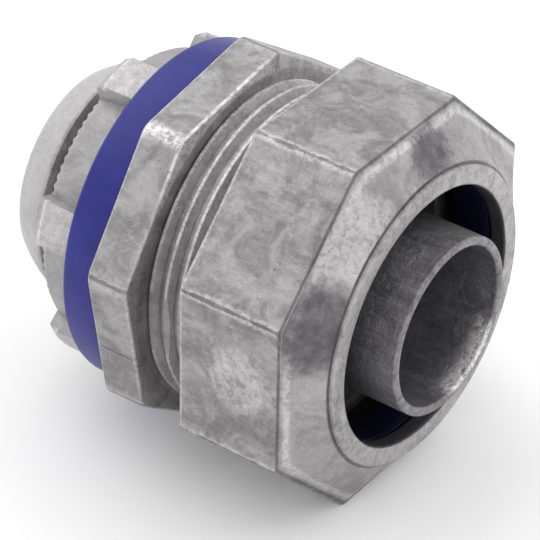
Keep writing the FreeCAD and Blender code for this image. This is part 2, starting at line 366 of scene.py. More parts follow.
def threaded_rod(name, first, start, end, pitch, crest, flats=()):
    """A threaded rod between two stations, closed at both.

    Its crest passes straight up at the station first, and it rises with the angle. It is wound
    past both ends and cut off square. Flats are (angle, distance) pairs that the mould's parting
    takes off the crests.
    """
    root = crest - THREAD_DEPTH
    half_crest = THREAD_CREST / 2
    half_foot = half_crest + THREAD_DEPTH * math.tan(THREAD_FLANK)
    outline = [
        (-pitch / 2, root), (-half_foot, root), (-half_crest, crest), (half_crest, crest), (half_foot, root),
        (pitch / 2, root)]
    lead = first + (math.floor((start - first) / pitch) - 1) * pitch
    turns = math.ceil((end - start) / pitch) + 3
    piece = start_mesh(name)
    extrude_points([place(lead + x, r) for x, r in outline])
    set_mode("OBJECT")
    piece.data.transform(Matrix.Translation(-AXIS_CENTRE))
    piece.location = AXIS_CENTRE
    screw = piece.modifiers.new("turns", "SCREW")
    screw.axis = "X"
    screw.angle = math.tau * turns
    screw.screw_offset = pitch * turns * MM
    screw.steps = TURN_STEPS * turns
    screw.render_steps = screw.steps
    screw.use_smooth_shade = False
    apply_modifier(piece, screw)
    bpy.ops.object.transform_apply(location=True, rotation=False, scale=False)
    set_mode("EDIT")
    clean_mesh()
    set_mode("OBJECT")
    bisect_piece(piece, place(start, 0), Vector((-1, 0, 0)))
    bisect_piece(piece, place(end, 0), Vector((1, 0, 0)))
    for angle, distance in flats:
        outwards = Vector((0, -math.sin(angle), math.cos(angle)))
        bisect_piece(piece, place(start, distance, angle), outwards)
    make_active(piece)
    set_mode("EDIT")
    clean_mesh()
    set_mode("OBJECT")
    return piece


def turn_about_axis(piece, angle):
    """Turns a piece's mesh about the axis, from straight up towards -Y."""
    to_axis = Matrix.Translation(-AXIS_CENTRE)
    piece.data.transform(to_axis.inverted() @ Matrix.Rotation(angle, 4, "X") @ to_axis)


def extend(step=0.0, scale=1.0):
    """In edit mode, extrudes the selected loop along the axis and scales the new one about it."""
    bpy.ops.mesh.extrude_edges_move(TRANSFORM_OT_translate={"value": (step * MM, 0, 0)})
    bpy.ops.transform.resize(value=(1, scale, scale), center_override=AXIS_CENTRE)


def make_flange():
    """A prism with the eight wrench flats, its long corners rounder than its edges, as from wear."""
    reach = FLANGE_APOTHEM / math.cos(FLAT_ANGLE / 2)
    bpy.ops.mesh.primitive_cylinder_add(
        vertices=FLATS, radius=reach * MM, depth=FLANGE_THICKNESS * MM,
        location=place(FLANGE_THICKNESS / 2, 0), rotation=(0, math.pi / 2, 0))
    bpy.ops.object.transform_apply(location=True, rotation=True, scale=True)
    prism = bpy.context.object
    prism.name = "flange"
    prism.data.name = "flange"
    set_mode("EDIT")
    for k in range(FLATS):
        round_loop(lambda co: abs(angle_between(angle_of(co), k * FLAT_ANGLE)) < CORNER_REACH,
                   FLANGE_CORNER_ROUNDING, FLANGE_CORNER_SEGMENTS)
    set_mode("OBJECT")
    turn_about_axis(prism, FLAT_ANGLE / 2 + FLANGE_TURN)
    soften(prism, FLANGE_ROUNDING, segments=4)
    return prism


def nose_points():
    """The hub's rounded nose, from its tip to where the thread starts."""
    points = []
    for k in range(NOSE_STEPS + 1):
        share = 1 - k / NOSE_STEPS
        along = NOSE_BASE + (HUB_TIP - NOSE_BASE) * share
        points.append((along, HUB_RADIUS - NOSE_DROP * share ** NOSE_SWELL))
    return points


def mould_rib(start, end, distance, angle):
    """The fine rib that the mould's joint leaves along the axis."""
    bpy.ops.mesh.primitive_cube_add(
        size=1, location=place((start + end) / 2, distance),
        scale=((end - start) * MM, RIB_WIDTH * MM, 2 * RIB_HEIGHT * MM))
    bpy.ops.object.transform_apply(location=True, rotation=True, scale=True)
    rib = bpy.context.object
    soften(rib, RIB_ROUNDING, segments=2)
    turn_about_axis(rib, angle)
    return rib


def make_body():
    """The casting with the hub, the flange and the barrel, and the passage through it."""
    tip_end = NOSE_BASE + THREAD_CREST / 2
    foot = tip_end + THREAD_DEPTH * math.tan(THREAD_FLANK)
    inner = foot + OVERLAP / 2
    body = turned("flanged_body", [
        (HUB_TIP, 0), *nose_points(), (tip_end, HUB_RADIUS), (foot, HUB_RADIUS - THREAD_DEPTH),
        (inner, HUB_RADIUS - 2 * THREAD_DEPTH), (inner, 0)])
    middle = FLANGE_THICKNESS / 2
    thread_end = BARREL_END - BARREL_LEAD
    lead_start = thread_end - OVERLAP
    lead_radius = BARREL_RADIUS - THREAD_DEPTH - BARREL_LEAD_DROP
    flat_distance = BARREL_RADIUS - PARTING_DEPTH
    parts = [
        make_flange(),
        threaded_rod(
            "hub_thread", HUB_FIRST_CREST, NOSE_BASE + HUB_THREAD_GAP, middle - OVERLAP / 2, HUB_PITCH,
            HUB_RADIUS - HUB_CREST_DROP),
        threaded_rod(
            "barrel_thread", BARREL_FIRST_CREST, middle + OVERLAP / 2, thread_end, BARREL_PITCH,
            BARREL_RADIUS, flats=[(PARTING_ANGLE, flat_distance), (PARTING_ANGLE + math.pi, flat_distance)]),
        turned("barrel_lead", [
            (lead_start, 0), (lead_start, lead_radius), (BARREL_END - BARREL_CHAMFER, lead_radius),
            (BARREL_END, lead_radius - BARREL_CHAMFER), (BARREL_END, 0)])]
    for angle in (PARTING_RIB_ANGLE, PARTING_RIB_ANGLE + math.pi):
        flat_turn = (angle - FLANGE_TURN + FLAT_ANGLE / 2) % FLAT_ANGLE - FLAT_ANGLE / 2
        distance = FLANGE_APOTHEM / math.cos(flat_turn)
        parts.append(mould_rib(RIB_INSET, FLANGE_THICKNESS - RIB_INSET, distance, angle))
    for part in parts:
        combine(body, part, "UNION")
    turns = [math.radians(THROAT_STEP * k) for k in range(90 // THROAT_STEP + 1)]
    tip_bore = [
        (HUB_TIP + THROAT_ROUNDING * (1 - math.cos(turn)),
         THROAT_RADIUS + THROAT_ROUNDING * (1 - math.sin(turn)))
        for turn in turns]
    passage = turned("passage", [
        (HUB_TIP - OVERLAP, 0), (HUB_TIP - OVERLAP, THROAT_RADIUS + THROAT_ROUNDING), *tip_bore,
        (SOCKET_FLOOR, THROAT_RADIUS), (SOCKET_FLOOR, SOCKET_RADIUS),
        (BARREL_END + OVERLAP, SOCKET_RADIUS), (BARREL_END + OVERLAP, 0)])
    combine(body, passage, "DIFFERENCE")
    mend(body)
    return body


def flats_distance(co):
    """How far out a vertex of the nut is, measured square to its flat, before the nut is turned."""
    turn = angle_of(co) % FLAT_ANGLE - FLAT_ANGLE / 2
    return radius_of(co) * math.cos(turn)


def select_long_edges(least):
    """In edit mode, selects the edges of the active mesh longer than a length in millimetres."""
    bpy.ops.mesh.select_mode(type="EDGE")
    bpy.ops.mesh.select_all(action="DESELECT")
    set_mode("OBJECT")
    mesh = bpy.context.object.data
    for edge in mesh.edges:
        a, b = (mesh.vertices[i].co for i in edge.vertices)
        edge.select = (a - b).length > least * MM
    set_mode("EDIT")


def make_nut():
    """The gland nut: eight flats, a step, a bevel that runs out to a circle, the rim and the cone."""
    rim_base = NUT_FRONT - RIM_HEIGHT
    rim_foot = RIM_RADIUS + NUT_BEVEL_STEP
    cone_back = LIP_BACK - CONE_DEPTH
    reach = NUT_APOTHEM / math.cos(FLAT_ANGLE / 2)
    nut = start_mesh("faceted_gland_nut")
    bpy.ops.mesh.delete(type="VERT")
    bpy.ops.mesh.primitive_circle_add(
        vertices=FLATS, radius=reach * MM, location=place(NUT_BACK, 0), rotation=(0, math.pi / 2, 0))
    bpy.ops.mesh.bevel(offset=NUT_CORNER_ROUNDING * MM, segments=NUT_CORNER_SEGMENTS, affect="VERTICES")
    select_long_edges(NUT_LONG_EDGE)
    bpy.ops.mesh.subdivide(number_cuts=TURN_STEPS // FLATS - NUT_CORNER_SEGMENTS - 1)
    bpy.ops.mesh.select_all(action="SELECT")
    for k in range(NUT_SKIRT_LOOPS):
        extend((SKIRT_END - NUT_BACK) / NUT_SKIRT_LOOPS)
    extend(scale=(NUT_APOTHEM - NUT_BEVEL_STEP) / NUT_APOTHEM)
    bpy.ops.mesh.select_all(action="DESELECT")
    bpy.ops.mesh.primitive_circle_add(
        vertices=TURN_STEPS, radius=rim_foot * MM, location=place(rim_base, 0),
        rotation=(0, math.pi / 2, 0))
    step_middle = NUT_APOTHEM - NUT_BEVEL_STEP / 2
    at_rim, at_skirt = on_station(rim_base), on_station(SKIRT_END)
    select_vertices(lambda co: at_rim(co) or (at_skirt(co) and flats_distance(co) < step_middle))
    bpy.ops.mesh.bridge_edge_loops(number_cuts=NUT_BEVEL_CUTS)
    select_vertices(on_loop(rim_base, rim_foot))
    extend(scale=RIM_RADIUS / rim_foot)
    extend(RIM_HEIGHT)
    extend(scale=MOUTH_RADIUS / RIM_RADIUS)
    extend(-LIP_DEPTH)
    extend(scale=CONE_FRONT_RADIUS / MOUTH_RADIUS)
    extend(-CONE_DEPTH, CONE_BACK_RADIUS / CONE_FRONT_RADIUS)
    extend(scale=NUT_BORE / CONE_BACK_RADIUS)
    extend(NUT_BACK - cone_back)
    select_vertices(on_station(NUT_BACK))
    bpy.ops.mesh.bridge_edge_loops()
    clean_mesh()
    for wanted, width, segments in (
            (lambda co: at_skirt(co) and flats_distance(co) > step_middle, NUT_SKIRT_ROUNDING, 2),
            (on_station(NUT_BACK, (NUT_BORE + NUT_APOTHEM) / 2), NUT_BACK_ROUNDING, 3),
            (on_loop(NUT_FRONT, RIM_RADIUS), RIM_ROUNDING, 4),
            (on_loop(NUT_FRONT, MOUTH_RADIUS), RIM_ROUNDING, 4)):
        round_loop(wanted, width, segments)
    clean_mesh()
    set_mode("OBJECT")
    turn_about_axis(nut, FLAT_ANGLE / 2)
    return nut


def make_locknut():
    """The locknut: a drafted ring with a toothed face and six lugs."""
    tooth_base = LOCKNUT_BACK + TOOTH_DEPTH
    ring = turned("toothed_locknut", [
        (LOCKNUT_FRONT, LOCKNUT_BORE), (LOCKNUT_FRONT, LOCKNUT_RADIUS + LOCKNUT_DRAFT),
        (tooth_base + TOOTH_FADE, LOCKNUT_RADIUS + LOCKNUT_BACK_DRAFT),
        (tooth_base, LOCKNUT_RADIUS - TOOTH_DROP), (tooth_base, LOCKNUT_BORE)])
    make_active(ring)
    set_mode("EDIT")
    step = math.tau / TURN_STEPS
    at_base = on_station(tooth_base)
    select_vertices(lambda co: at_base(co) and round(angle_of(co) / step) % 2 == 0)
    bpy.ops.transform.translate(value=(-TOOTH_DEPTH * MM, 0, 0))
    set_mode("OBJECT")
    root = LOCKNUT_RADIUS - LUG_ROOT
    height = LUG_RADIUS + OVERLAP - root
    bevel_end = LUG_RADIUS - LUG_BEVEL_DROP
    for angle in LUG_ANGLES:
        bpy.ops.mesh.primitive_cube_add(
            size=1, location=place((tooth_base + LOCKNUT_FRONT) / 2, root + height / 2),
            scale=((LOCKNUT_FRONT - tooth_base - 2 * LUG_INSET) * MM, LUG_WIDTH * MM, height * MM))
        bpy.ops.object.transform_apply(location=True, rotation=True, scale=True)
        lug = bpy.context.object
        tip = turned("tip", [
            (LOCKNUT_FRONT + OVERLAP / 2, root), (LOCKNUT_FRONT + OVERLAP / 2, LUG_RADIUS),
            (tooth_base + LUG_BEVEL, LUG_RADIUS), (tooth_base, bevel_end),
            (tooth_base - OVERLAP / 2, bevel_end - LUG_BEVEL_RUNOUT), (tooth_base - OVERLAP / 2, root)],
            steps=LUG_TIP_STEPS)
        combine(lug, tip, "INTERSECT")
        soften(lug, LUG_ROUNDING, segments=3, angle=LUG_SHARP_ANGLE)
        turn_about_axis(lug, math.radians(angle))
        combine(ring, lug, "UNION")
    mend(ring)
    return ring


def make_gasket():
    gasket = turned("blue_gasket_ring", [
        (0, GASKET_BORE), (0, GASKET_RADIUS), (GASKET_BACK, GASKET_RADIUS), (GASKET_BACK, GASKET_BORE)])
    soften(gasket, GASKET_ROUNDING, segments=4)
    return gasket


def cone_radius(along):
    """The radius of the nut's inner cone at a station."""
    share = (LIP_BACK - along) / CONE_DEPTH
    return CONE_FRONT_RADIUS + share * (CONE_BACK_RADIUS - CONE_FRONT_RADIUS)


def make_sealing_ring():
    """The tapered ring that the nut's cone squeezes onto the conduit."""
    back_outer = cone_radius(RING_BACK) - CONE_CLEARANCE
    ring = turned("blue_sealing_ring", [
        (RING_FRONT, RING_BORE), (RING_FRONT, cone_radius(RING_FRONT) - CONE_CLEARANCE),
        (RING_BACK + RING_EDGE, cone_radius(RING_BACK + RING_EDGE) - CONE_CLEARANCE),
        (RING_BACK, back_outer - RING_EDGE), (RING_BACK, RING_BORE + RING_EDGE),
        (RING_BACK + RING_EDGE, RING_BORE)])
    soften(ring, RING_ROUNDING, segments=2)
    return ring


def make_ferrule():
    """The inner tube, with the base that seats in the socket."""
    base_end = FERRULE_BASE + FERRULE_BASE_THICKNESS
    ferrule = turned("inner_ferrule", [
        (FERRULE_BASE, FERRULE_BASE_BORE), (FERRULE_BASE, FERRULE_BASE_RADIUS),
        (base_end, FERRULE_BASE_RADIUS), (base_end, FERRULE_RADIUS), (FERRULE_END, FERRULE_RADIUS),
        (FERRULE_END, FERRULE_MOUTH_BORE)])
    soften(ferrule, FERRULE_ROUNDING, segments=4)
    return ferrule


def node(tree, kind, inputs=None, **settings):
    """Adds a shader node, sets its properties and fills its inputs with values or links."""
    made = tree.nodes.new("ShaderNode" + kind)
    for name, value in settings.items():
        setattr(made, name, value)
    for name, value in (inputs or {}).items():
        if isinstance(value, bpy.types.NodeSocket):
            tree.links.new(value, made.inputs[name])
        else:
            made.inputs[name].default_value = value
    return made


def grouped(tree, group, inputs):
    """Places a node group with its own values and returns its outputs."""
    return node(tree, "Group", inputs, node_tree=group).outputs


def maths(tree, operation, a, b=0.0, clamp=False):
    return node(tree, "Math", {0: a, 1: b}, operation=operation, use_clamp=clamp).outputs[0]


def folded(tree, operation, values):
    """Several masks put together, one after the other."""
    result = values[0]
    for value in values[1:]:
        result = maths(tree, operation, result, value)
    return result


def product(tree, *values):
    return folded(tree, "MULTIPLY", values)


def greatest(tree, *values):
    return folded(tree, "MAXIMUM", values)


def strongest(tree, *pairs):
    """The greatest of several masks, each times its share."""
    return greatest(tree, *(product(tree, mask, share) for mask, share in pairs))


def above(tree, value, low, high):
    """A mask that rises smoothly from 0 to 1 as the value goes from low to high."""
    inputs = {"Value": value, "From Min": low, "From Max": high}
    return node(tree, "MapRange", inputs, interpolation_type="SMOOTHSTEP").outputs["Result"]


def below(tree, value, low, high):
    """A mask that falls smoothly from 1 to 0 as the value goes from low to high."""
    return maths(tree, "SUBTRACT", 1.0, above(tree, value, low, high))


def between(tree, value, low, high, blur):
    """A mask that is 1 between two values."""
    rise = above(tree, value, low - blur, low + blur)
    return product(tree, rise, below(tree, value, high - blur, high + blur))


def noise(tree, vector, scale, detail, roughness, distortion=0.0):
    inputs = {
        "Vector": vector, "Scale": scale, "Detail": detail, "Roughness": roughness, "Distortion": distortion}
    return node(tree, "TexNoise", inputs).outputs["Fac"]


def blend_colours(tree, factor, a, b):
    return node(tree, "Mix", {0: factor, 6: a, 7: b}, data_type="RGBA").outputs[2]


def stretched(tree, vector, factors):
    return node(tree, "VectorMath", {0: vector, 1: factors}, operation="MULTIPLY").outputs[0]


def place_on_axis(tree):
    """Object coordinates in millimetres, with X as the station and the axis at zero."""
    coordinates = node(tree, "TexCoord").outputs["Object"]
    origin = (FACE, 0, AXIS_HEIGHT)
    centred = node(tree, "VectorMath", {0: coordinates, 1: origin}, operation="SUBTRACT").outputs[0]
    return stretched(tree, centred, (1 / MM, 1 / MM, 1 / MM))


def shifted_place(tree, shift):
    """The same, moved along all three axes, so that no two pieces show the same pattern."""
    offset = node(tree, "CombineXYZ", {0: shift, 1: shift, 2: shift}).outputs[0]
    return node(tree, "VectorMath", {0: place_on_axis(tree), 1: offset}, operation="ADD").outputs[0]


def along_and_radius(tree):
    """The station and the distance from the axis."""
    parts = node(tree, "SeparateXYZ", {0: place_on_axis(tree)}).outputs
    square = maths(tree, "ADD", product(tree, parts[1], parts[1]), product(tree, parts[2], parts[2]))
    return parts[0], maths(tree, "SQRT", square)


def angle_round_axis(tree):
    """The angle round the axis, from straight up, towards -Y."""
    parts = node(tree, "SeparateXYZ", {0: place_on_axis(tree)}).outputs
    return maths(tree, "ARCTAN2", maths(tree, "MULTIPLY", parts[1], -1.0), parts[2])


def new_group(name, inputs, outputs):
    """A shader node group with named sockets, each given as a name, a kind and a value."""
    tree = bpy.data.node_groups.new(name, "ShaderNodeTree")
    for label, kind, value in inputs:
        socket = tree.interface.new_socket(label, in_out="INPUT", socket_type="NodeSocket" + kind)
        socket.default_value = value
    for label, kind in outputs:
        tree.interface.new_socket(label, in_out="OUTPUT", socket_type="NodeSocket" + kind)
    given = tree.nodes.new("NodeGroupInput").outputs
    result = tree.nodes.new("NodeGroupOutput").inputs
    return tree, given, result


def make_cast_surface():
    """Cast zinc: cloudy light and dark blotches, streaks along the axis, pits, grain, wear with painted
    highlights, and grime with painted shade.
    """
    tree, given, result = new_group(
        "cast_surface",
        [("Light", "Color", (0.5, 0.5, 0.5, 1)), ("Dark", "Color", (0.2, 0.2, 0.2, 1)),
         ("Bright", "Color", (0.7, 0.7, 0.7, 1)), ("Stain_And_Shade", "Color", (0.1, 0.1, 0.1, 1)),
         ("Blotches Per mm", "Float", 0.4), ("Shift", "Float", 0.0), ("Streaks", "Float", 0.3),
         ("Pits", "Float", 0.5), ("Even", "Float", 0.0), ("Wear_And_Highlight", "Float", 0.0), ("Grime_And_Shade", "Float", 0.0)],
        [("Color", "Color"), ("Roughness", "Float"), ("Height", "Float")])
    at = shifted_place(tree, given["Shift"])
    clouds = above(tree, noise(tree, at, given["Blotches Per mm"], 7.0, 0.66, 0.9), 0.36, 0.64)
    specks = above(tree, noise(tree, at, 1.9, 6.0, 0.7, 0.4), 0.36, 0.64)
    streaks = above(tree, noise(tree, stretched(tree, at, (0.16, 1, 1)), 2.2, 5.0, 0.7), 0.4, 0.62)
    grain = noise(tree, at, 9.0, 3.0, 0.7)
    cloudy = maths(tree, "ADD", product(tree, clouds, 0.6), product(tree, specks, 0.2))
    streaky = maths(tree, "ADD", cloudy, product(tree, streaks, given["Streaks"]))
    tone = maths(tree, "ADD", streaky, product(tree, maths(tree, "SUBTRACT", grain, 0.5), 0.5), clamp=True)
    colour = blend_colours(tree, tone, given["Dark"], given["Light"])
    colour = blend_colours(tree, given["Even"], colour, given["Light"])
    broken = above(tree, noise(tree, at, 1.9, 5.0, 0.75, 0.6), 0.38, 0.56)
    # Wear and painted highlights turn the colour towards the bright zinc.
    wear_and_highlight = product(tree, given["Wear_And_Highlight"], maths(tree, "ADD", 0.25, product(tree, broken, 0.75)))
    colour = blend_colours(tree, wear_and_highlight, colour, given["Bright"])
    pits = product(tree, above(tree, noise(tree, at, 2.6, 3.0, 0.6), 0.67, 0.73), given["Pits"])
    smudge = above(tree, noise(tree, at, 0.9, 5.0, 0.7, 0.3), 0.35, 0.6)
    # Grime and painted shade turn the colour towards the dark colour, as the pits do.
    smudged_grime_and_shade = product(tree, given["Grime_And_Shade"], maths(tree, "ADD", 0.74, product(tree, smudge, 0.26)))
    marks = maths(tree, "MAXIMUM", pits, smudged_grime_and_shade, clamp=True)
    colour = blend_colours(tree, marks, colour, given["Stain_And_Shade"])
    tree.links.new(colour, result["Color"])
    rough = maths(tree, "SUBTRACT", 0.56, product(tree, tone, 0.16))
    rough = maths(tree, "SUBTRACT", rough, product(tree, wear_and_highlight, 0.16))
    tree.links.new(maths(tree, "ADD", rough, product(tree, marks, 0.12), clamp=True), result["Roughness"])
    relief = maths(tree, "ADD", product(tree, specks, 0.5), product(tree, grain, 0.6))
    relief = maths(tree, "ADD", relief, product(tree, clouds, 0.5))
    tree.links.new(maths(tree, "SUBTRACT", relief, product(tree, pits, 0.8)), result["Height"])
    return tree


def make_flat_corners():
    """Masks along the corners of eight wrench flats: the corner line itself and a band beside it."""
    tree, given, result = new_group(
        "flat_corners",
        [("Turn", "Float", 0.0), ("Line Width", "Float", 0.12), ("Side Width", "Float", 0.5)],
        [("Line", "Float"), ("Side", "Float")])
    radius = along_and_radius(tree)[1]
    ripple = maths(tree, "SUBTRACT", noise(tree, place_on_axis(tree), 0.8, 4.0, 0.7), 0.5)
    turned_angle = maths(tree, "SUBTRACT", angle_round_axis(tree), given["Turn"])
    from_middle = maths(tree, "PINGPONG", turned_angle, FLAT_ANGLE / 2)
    distance = product(tree, maths(tree, "SUBTRACT", FLAT_ANGLE / 2, from_middle), radius)
    distance = maths(tree, "ADD", distance, product(tree, ripple, 0.65))
    fade = maths(tree, "MULTIPLY", given["Line Width"], 3.6)
    line = above(tree, distance, given["Line Width"], fade)
    side = above(tree, distance, fade, given["Side Width"])
    line_mask = maths(tree, "SUBTRACT", 1.0, line)
    side_mask = maths(tree, "SUBTRACT", maths(tree, "SUBTRACT", 1.0, side), line_mask, clamp=True)
    tree.links.new(line_mask, result["Line"])
    tree.links.new(side_mask, result["Side"])
    return tree


def make_patch():
    """A soft patch with ragged edges round one place."""
    tree, given, result = new_group(
        "ragged_patch", [("Centre", "Vector", (0, 0, 0)), ("Reach", "Float", 2.0)], [("Mask", "Float")])
    at = place_on_axis(tree)
    distance = node(tree, "VectorMath", {0: at, 1: given["Centre"]}, operation="DISTANCE").outputs["Value"]
    ragged = product(tree, maths(tree, "SUBTRACT", noise(tree, at, 0.9, 5.0, 0.75, 0.5), 0.5), 3.2)
    share = maths(tree, "DIVIDE", maths(tree, "ADD", distance, ragged), given["Reach"])
    tree.links.new(below(tree, share, 0.6, 1.15), result["Mask"])
    return tree


def make_moulded_surface():
    """Moulded plastic: cloudy colour, faint scuffs round it, and a fine grain."""
    tree, given, result = new_group(
        "moulded_surface",
        [("Colour", "Color", (0, 0, 0.2, 1)), ("Pale", "Color", (0.1, 0.1, 0.3, 1)),
         ("Roughness", "Float", 0.4), ("Shift", "Float", 0.0)],
        [("Color", "Color"), ("Roughness", "Float"), ("Height", "Float")])
    at = shifted_place(tree, given["Shift"])
    clouds = noise(tree, at, 0.35, 5.0, 0.6, 0.6)
    grain = noise(tree, at, 7.0, 4.0, 0.7)
    scuffs = above(tree, noise(tree, stretched(tree, at, (6, 1, 1)), 0.8, 5.0, 0.75), 0.55, 0.78)
    cloudy = product(tree, above(tree, clouds, 0.35, 0.7), 0.35)
    tone = maths(tree, "ADD", cloudy, product(tree, scuffs, 0.22))
    tree.links.new(blend_colours(tree, tone, given["Colour"], given["Pale"]), result["Color"])
    rough = maths(tree, "ADD", given["Roughness"], product(tree, maths(tree, "SUBTRACT", grain, 0.5), 0.3))
    tree.links.new(maths(tree, "ADD", rough, product(tree, scuffs, 0.1), clamp=True), result["Roughness"])
    tree.links.new(maths(tree, "ADD", grain, product(tree, scuffs, 0.4)), result["Height"])
    return tree


CAST_SURFACE = make_cast_surface()
FLAT_CORNERS = make_flat_corners()
RAGGED_PATCH = make_patch()
MOULDED_SURFACE = make_moulded_surface()


def new_material(name):
    """A new material and its shader."""
    material = bpy.data.materials.new(name)
    material.use_nodes = True
    return material, material.node_tree.nodes["Principled BSDF"]


def dress(tree, shader, surface, relief):
    """Links the colour, the roughness and the relief of a surface to a shader."""
    bump = node(tree, "Bump", {"Strength": 1.0, "Distance": relief * MM, "Height": surface["Height"]})
    tree.links.new(surface["Color"], shader.inputs["Base Color"])
    tree.links.new(surface["Roughness"], shader.inputs["Roughness"])
    tree.links.new(bump.outputs[0], shader.inputs["Normal"])


def grey(level, blue=0.0):
    """A grey of cast zinc, slightly warm or with some blue."""
    return (level, level * 0.965, level * 0.975 + blue, 1)


# Metal and plastic, with the depth of their grain in millimetres
METALLIC = 0.82
# Bright zinc for wear and painted highlights; a dark bluish grey for stains, grime, painted shade and
# painted dark reflections.
WEAR_AND_HIGHLIGHT_ZINC = grey(0.78)
STAIN_AND_SHADE = grey(0.08, 0.011)
CAST_RELIEF = 0.05
MOULDED_RELIEF = 0.02
MOULDED_ROUGHNESS = 0.4
MOULDED_SPECULAR = 0.4


def cast_material(name, masks, light, dark, shift, streaks, pits=0.6, blotches=0.4, blue=0.0):
    """A cast zinc material. Masks gives the places of wear and painted highlights, the places of grime and
    painted shade, and the even places.
    """
    material, shader = new_material(name)
    tree = material.node_tree
    wear_and_highlight, grime_and_shade, even = masks(tree)
    surface = grouped(tree, CAST_SURFACE, {
        "Light": grey(light, blue), "Dark": grey(dark, blue), "Bright": WEAR_AND_HIGHLIGHT_ZINC, "Stain_And_Shade": STAIN_AND_SHADE,
        "Blotches Per mm": blotches, "Shift": shift, "Streaks": streaks, "Pits": pits, "Even": even,
        "Wear_And_Highlight": wear_and_highlight, "Grime_And_Shade": grime_and_shade})
    shader.inputs["Metallic"].default_value = METALLIC
    dress(tree, shader, surface, CAST_RELIEF)
    return material


def moulded_material(name, colour, pale, shift):
    """Moulded blue plastic: a fine grain, slight cloudiness and scuffs."""
    material, shader = new_material(name)
    surface = grouped(material.node_tree, MOULDED_SURFACE, {
        "Colour": colour, "Pale": pale, "Roughness": MOULDED_ROUGHNESS, "Shift": shift})
    shader.inputs["Specular IOR Level"].default_value = MOULDED_SPECULAR
    dress(material.node_tree, shader, surface, MOULDED_RELIEF)
    return material


def spot(along, radius, degrees):
    """A place round the axis in the millimetres that the materials use."""
    turn = math.radians(degrees)
    return (along, -radius * math.sin(turn), radius * math.cos(turn))


# Places of painted highlights and painted dark reflections, each with its reach in millimetres
BEVEL_BRIGHT = spot(20.2, 14.5, 38), 4.5
BEVEL_DARK_LEFT = spot(20.0, 14.4, 66), 4.2
BEVEL_DARK_TOP = spot(20.0, 14.4, -6), 2.6
LOW_FLAT_BRIGHT = spot(15.0, 16.4, 88), 3.2
FLANGE_EDGE_BRIGHT = spot(3.9, 16.2, 22), 9.0
FLANGE_CORNER_BRIGHT = spot(2.2, 16.4, 32), 3.6
FERRULE_LIP_BRIGHT = spot(23.2, 6.9, -146), 4.0


def patch(tree, centre, reach):
    """The mask of a ragged patch round one place."""
    return grouped(tree, RAGGED_PATCH, {"Centre": centre, "Reach": reach})["Mask"]


def body_masks(tree):
    """Bright crests and edges from wear, with painted highlights that grow towards the top and at one place
    on the flange's front edge and one corner; painted shade in the hub's thread roots, and in the barrel's
    roots and on the flange's face lower down; and stained corner lines.
    """
    along, radius = along_and_radius(tree)
    height = maths(tree, "COSINE", angle_round_axis(tree))
    upper = above(tree, height, 0.3, 0.85)
    lower = below(tree, height, 0.3, 0.85)
    on_barrel = above(tree, along, FLANGE_THICKNESS + 0.02, FLANGE_THICKNESS + 0.06)
    barrel_crest = product(tree, on_barrel, above(tree, radius, BARREL_RADIUS - 0.1, BARREL_RADIUS - 0.02))
    barrel_root = product(tree, on_barrel, below(tree, radius, BARREL_RADIUS - 0.72, BARREL_RADIUS - 0.5))
    on_hub = below(tree, along, -0.2, -0.1)
    hub_crest = product(tree, on_hub, above(tree, radius, HUB_RADIUS - 0.1, HUB_RADIUS - 0.03),
                        above(tree, along, NOSE_BASE + 0.3, NOSE_BASE + 0.4))
    hub_root = product(tree, on_hub, below(tree, radius, HUB_RADIUS - 0.72, HUB_RADIUS - 0.45),
                       above(tree, along, NOSE_BASE, NOSE_BASE + 0.2))
    nose = below(tree, along, NOSE_BASE - 0.4, NOSE_BASE + 0.1)
    corners = grouped(tree, FLAT_CORNERS, {"Turn": FLANGE_TURN, "Line Width": 0.07, "Side Width": 1.1})
    on_flange = product(tree, above(tree, radius, FLANGE_APOTHEM - 0.75, FLANGE_APOTHEM - 0.35),
                        between(tree, along, -0.2, FLANGE_THICKNESS + 0.3, 0.1))
    # Painted highlight: the flange's front edge is brighter round one place near the top, over a little wear
    # all round.
    edge_wear_and_highlight = maths(tree, "ADD", 0.3, product(tree, patch(tree, *FLANGE_EDGE_BRIGHT), 0.7))
    front_edge = product(
        tree, on_flange, above(tree, along, FLANGE_THICKNESS - 0.35, FLANGE_THICKNESS - 0.1))
    back_edge = product(tree, on_flange, below(tree, along, 0.1, 0.3))
    flange_face = product(tree, above(tree, along, FLANGE_THICKNESS - 0.02, FLANGE_THICKNESS),
                          above(tree, radius, BARREL_RADIUS + 0.1, BARREL_RADIUS + 0.3), lower)
    # Painted highlight at one place on the flange's rounded corner.
    bright_corner = patch(tree, *FLANGE_CORNER_BRIGHT)
    corner_wear_and_highlight = product(tree, on_flange, greatest(tree, corners["Side"], corners["Line"]), bright_corner)
    corner_line = product(tree, on_flange, corners["Line"], below(tree, bright_corner, 0.1, 0.5))
    # Painted highlight: the crests are brighter towards the top.
    crest_wear_and_highlight = maths(tree, "ADD", 0.45, product(tree, upper, 0.45))
    # Wear on crests and edges; the barrel's upper side is lighter as a painted highlight.
    wear_and_highlight = strongest(
        tree, (barrel_crest, crest_wear_and_highlight), (hub_crest, 0.5), (nose, 0.12), (front_edge, edge_wear_and_highlight),
        (back_edge, 0.6), (product(tree, on_barrel, upper), 0.22),
        (product(tree, on_flange, corners["Side"]), 0.3), (corner_wear_and_highlight, 0.9))
    # Painted shade in the hub's thread roots, in the barrel's roots on the lower side and on the lower part
    # of the flange's face; the corner lines are stains.
    grime_and_shade = strongest(
        tree, (product(tree, barrel_root, lower), 0.4), (hub_root, 0.3), (flange_face, 0.35),
        (corner_line, 0.4))
    even = strongest(tree, (nose, 0.75), (on_barrel, 0.3))
    return wear_and_highlight, grime_and_shade, even


